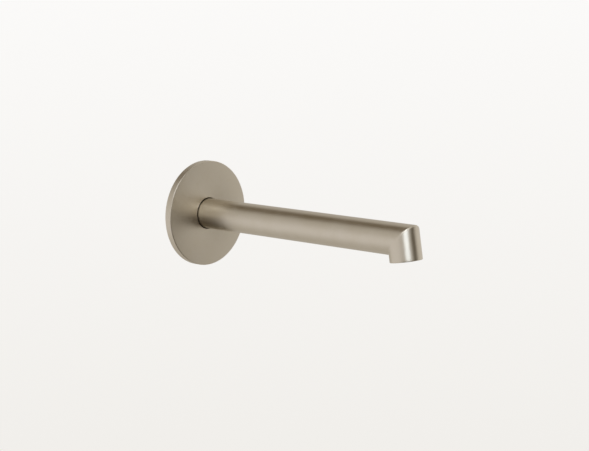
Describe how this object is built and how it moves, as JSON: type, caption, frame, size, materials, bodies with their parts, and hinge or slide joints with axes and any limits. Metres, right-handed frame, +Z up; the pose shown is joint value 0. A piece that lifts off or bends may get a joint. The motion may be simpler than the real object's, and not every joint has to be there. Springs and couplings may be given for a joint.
{
  "type": "wall mounted bath faucet",
  "caption": "Straight round bath spout with a mitred outlet, a round wall flange that slides on the tube, a threaded wall nipple and a screw-in aerator.",
  "frame": {"origin": "on the tube's axis, in the plane of the finished wall", "axes": "-Y runs out from the wall along the tube, +Z is up, +Y points into the wall"},
  "size_m": [0.07, 0.2004, 0.07],
  "materials": {
    "satin_nickel": "brass with a satin, warm champagne nickel coating, finely brushed",
    "turned_brass": "turned, uncoated",
    "black_rubber": "moulded, matt",
    "brown_fibre": "vulcanised fibre, matt",
    "stainless_steel": "bright, fine grain",
    "white_plastic": "moulded acetal, slightly glossy"
  },
  "bodies": {
    "spout": {"spout_tube": "satin_nickel", "spout_nozzle": "satin_nickel", "tube_end_socket": "turned_brass", "wall_nipple": "turned_brass", "nipple_o_ring_front": "black_rubber", "nipple_o_ring_rear": "black_rubber", "nipple_washer": "brown_fibre"},
    "flange_carrier": {"flange_grip_ring": "black_rubber"},
    "flange": {"wall_flange": "satin_nickel", "flange_gasket": "black_rubber"},
    "aerator_seal": {"aerator_gasket": "black_rubber"},
    "aerator": {"aerator_shell": "satin_nickel", "aerator_inlet_screen": "white_plastic", "flow_regulator": "white_plastic", "regulator_ring": "black_rubber", "aerator_diffuser": "white_plastic", "aerator_mesh_upper": "stainless_steel", "aerator_mesh_lower": "stainless_steel", "flow_straightener": "white_plastic"},
    "grub_tip": {"grub_screw_tip": "white_plastic"},
    "grub": {"grub_screw": "stainless_steel"}
  },
  "joints": [
    {"name": "flange_slide", "type": "slide", "parent": "spout", "child": "flange_carrier", "axis": [0, -1, 0], "range_m": [0, 0.15]},
    {"name": "flange_turn", "type": "hinge", "parent": "flange_carrier", "child": "flange", "pos_m": [0, -0.0028, 0], "axis": [0, -1, 0], "continuous": true},
    {"name": "aerator_travel", "type": "slide", "parent": "spout", "child": "aerator_seal", "axis": [0, -0.1633, -0.9866], "range_m": [0, 0.006]},
    {"name": "aerator_turn", "type": "hinge", "parent": "aerator_seal", "child": "aerator", "pos_m": [0, -0.1705, 0], "axis": [0, -0.1633, -0.9866], "range_deg": [0, 2160]},
    {"name": "grub_travel", "type": "slide", "parent": "spout", "child": "grub_tip", "axis": [0, 0, -1], "range_m": [0, 0.0024]},
    {"name": "grub_turn", "type": "hinge", "parent": "grub_tip", "child": "grub", "pos_m": [0, -0.0145, 0], "axis": [0, 0, -1], "range_deg": [0, 1080]}
  ],
  "couplings": [
    {"joint": "aerator_travel", "follows": "aerator_turn", "m_per_rad": 0.00015915},
    {"joint": "grub_turn", "follows": "grub_travel", "rad_per_m": 7854}
  ]
}
